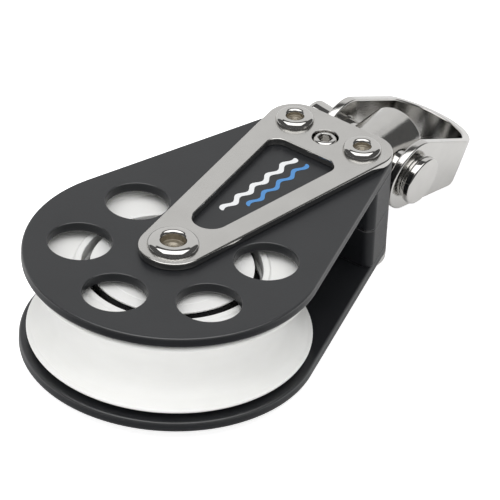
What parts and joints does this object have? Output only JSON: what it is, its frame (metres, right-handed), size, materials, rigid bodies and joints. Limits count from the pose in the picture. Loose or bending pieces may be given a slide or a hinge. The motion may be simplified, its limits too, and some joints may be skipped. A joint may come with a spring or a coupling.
{
  "type": "sheave block",
  "caption": "Single sheave block: grooved roller-bearing wheel between two drilled cheek plates with outer straps, and a swivelling bow shackle on its head.",
  "frame": {"origin": "centre of the whole object's bounding box in the rest pose; the sheave's axis is 33.8 mm towards -X from it", "axes": "+Z along the sheave's spin axis, out of the upper cheek plate; +X from the sheave to the shackle, along the swivel axis; +Y across"},
  "size_m": [0.1274, 0.0598, 0.0284],
  "materials": {
    "black_anodised": "satin black anodised",
    "black_acetal": "smooth moulded black",
    "white_acetal": "smooth machined off-white",
    "brushed_strap": "satin face with polished edge",
    "polished_steel": "polished stainless"
  },
  "bodies": {
    "frame": {"side_plate_upper": "black_anodised", "side_plate_lower": "black_anodised", "strap_upper": "brushed_strap", "strap_lower": "brushed_strap", "head_block_upper": "black_anodised", "head_block_lower": "black_anodised", "axle_rivet": "polished_steel", "head_rivet_left": "polished_steel", "head_rivet_right": "polished_steel", "inner_race": "black_acetal", "race_ring_upper": "black_acetal", "race_ring_lower": "black_acetal", "bearing_cap_upper": "white_acetal", "bearing_cap_lower": "white_acetal", "thrust_washer": "white_acetal", "swivel_washer": "black_acetal"},
    "sheave": {"sheave": "white_acetal"},
    "cage": {"roller_cage": "black_acetal"},
    "roller_01": {"roller_01": "black_acetal"},
    "roller_02": {"roller_02": "black_acetal"},
    "roller_03": {"roller_03": "black_acetal"},
    "roller_04": {"roller_04": "black_acetal"},
    "roller_05": {"roller_05": "black_acetal"},
    "roller_06": {"roller_06": "black_acetal"},
    "roller_07": {"roller_07": "black_acetal"},
    "roller_08": {"roller_08": "black_acetal"},
    "roller_09": {"roller_09": "black_acetal"},
    "roller_10": {"roller_10": "black_acetal"},
    "roller_11": {"roller_11": "black_acetal"},
    "roller_12": {"roller_12": "black_acetal"},
    "lock_screw": {"lock_screw": "polished_steel"},
    "post": {"swivel_post": "polished_steel"},
    "shackle": {"shackle_bow": "polished_steel"},
    "pin": {"shackle_pin": "polished_steel"}
  },
  "joints": [
    {"name": "sheave_spin", "type": "hinge", "parent": "frame", "child": "sheave", "pos_m": [-0.0338, 0, 0], "axis": [0, 0, 1], "continuous": true},
    {"name": "cage_orbit", "type": "hinge", "parent": "frame", "child": "cage", "pos_m": [-0.0338, 0, 0], "axis": [0, 0, 1], "continuous": true},
    {"name": "roller_01_spin", "type": "hinge", "parent": "cage", "child": "roller_01", "pos_m": [-0.0188, 0, 0], "axis": [0, 0, 1], "continuous": true},
    {"name": "roller_02_spin", "type": "hinge", "parent": "cage", "child": "roller_02", "pos_m": [-0.02081, 0.0075, 0], "axis": [0, 0, 1], "continuous": true},
    {"name": "roller_03_spin", "type": "hinge", "parent": "cage", "child": "roller_03", "pos_m": [-0.0263, 0.01299, 0], "axis": [0, 0, 1], "continuous": true},
    {"name": "roller_04_spin", "type": "hinge", "parent": "cage", "child": "roller_04", "pos_m": [-0.0338, 0.015, 0], "axis": [0, 0, 1], "continuous": true},
    {"name": "roller_05_spin", "type": "hinge", "parent": "cage", "child": "roller_05", "pos_m": [-0.0413, 0.01299, 0], "axis": [0, 0, 1], "continuous": true},
    {"name": "roller_06_spin", "type": "hinge", "parent": "cage", "child": "roller_06", "pos_m": [-0.04679, 0.0075, 0], "axis": [0, 0, 1], "continuous": true},
    {"name": "roller_07_spin", "type": "hinge", "parent": "cage", "child": "roller_07", "pos_m": [-0.0488, 0, 0], "axis": [0, 0, 1], "continuous": true},
    {"name": "roller_08_spin", "type": "hinge", "parent": "cage", "child": "roller_08", "pos_m": [-0.04679, -0.0075, 0], "axis": [0, 0, 1], "continuous": true},
    {"name": "roller_09_spin", "type": "hinge", "parent": "cage", "child": "roller_09", "pos_m": [-0.0413, -0.01299, 0], "axis": [0, 0, 1], "continuous": true},
    {"name": "roller_10_spin", "type": "hinge", "parent": "cage", "child": "roller_10", "pos_m": [-0.0338, -0.015, 0], "axis": [0, 0, 1], "continuous": true},
    {"name": "roller_11_spin", "type": "hinge", "parent": "cage", "child": "roller_11", "pos_m": [-0.0263, -0.01299, 0], "axis": [0, 0, 1], "continuous": true},
    {"name": "roller_12_spin", "type": "hinge", "parent": "cage", "child": "roller_12", "pos_m": [-0.02081, -0.0075, 0], "axis": [0, 0, 1], "continuous": true},
    {"name": "swivel", "type": "hinge", "parent": "frame", "child": "post", "pos_m": [0.0247, 0, 0], "axis": [1, 0, 0], "continuous": true},
    {"name": "shackle_hinge", "type": "hinge", "parent": "post", "child": "shackle", "pos_m": [0.0347, 0, 0], "axis": [0, 0.9903, 0.1392], "range_deg": [-126.2, 85.8]},
    {"name": "shackle_pin_slide", "type": "slide", "parent": "shackle", "child": "pin", "axis": [0, -0.9903, -0.1392], "range_m": [0, 0.0275]},
    {"name": "lock_screw_travel", "type": "slide", "parent": "frame", "child": "lock_screw", "axis": [0, 0, -1], "range_m": [0, 0.00125]}
  ],
  "couplings": [
    {"joint": "cage_orbit", "follows": "sheave_spin", "ratio": 0.6},
    {"joint": "roller_01_spin", "follows": "sheave_spin", "ratio": 2.4},
    {"joint": "roller_02_spin", "follows": "sheave_spin", "ratio": 2.4},
    {"joint": "roller_03_spin", "follows": "sheave_spin", "ratio": 2.4},
    {"joint": "roller_04_spin", "follows": "sheave_spin", "ratio": 2.4},
    {"joint": "roller_05_spin", "follows": "sheave_spin", "ratio": 2.4},
    {"joint": "roller_06_spin", "follows": "sheave_spin", "ratio": 2.4},
    {"joint": "roller_07_spin", "follows": "sheave_spin", "ratio": 2.4},
    {"joint": "roller_08_spin", "follows": "sheave_spin", "ratio": 2.4},
    {"joint": "roller_09_spin", "follows": "sheave_spin", "ratio": 2.4},
    {"joint": "roller_10_spin", "follows": "sheave_spin", "ratio": 2.4},
    {"joint": "roller_11_spin", "follows": "sheave_spin", "ratio": 2.4},
    {"joint": "roller_12_spin", "follows": "sheave_spin", "ratio": 2.4}
  ]
}
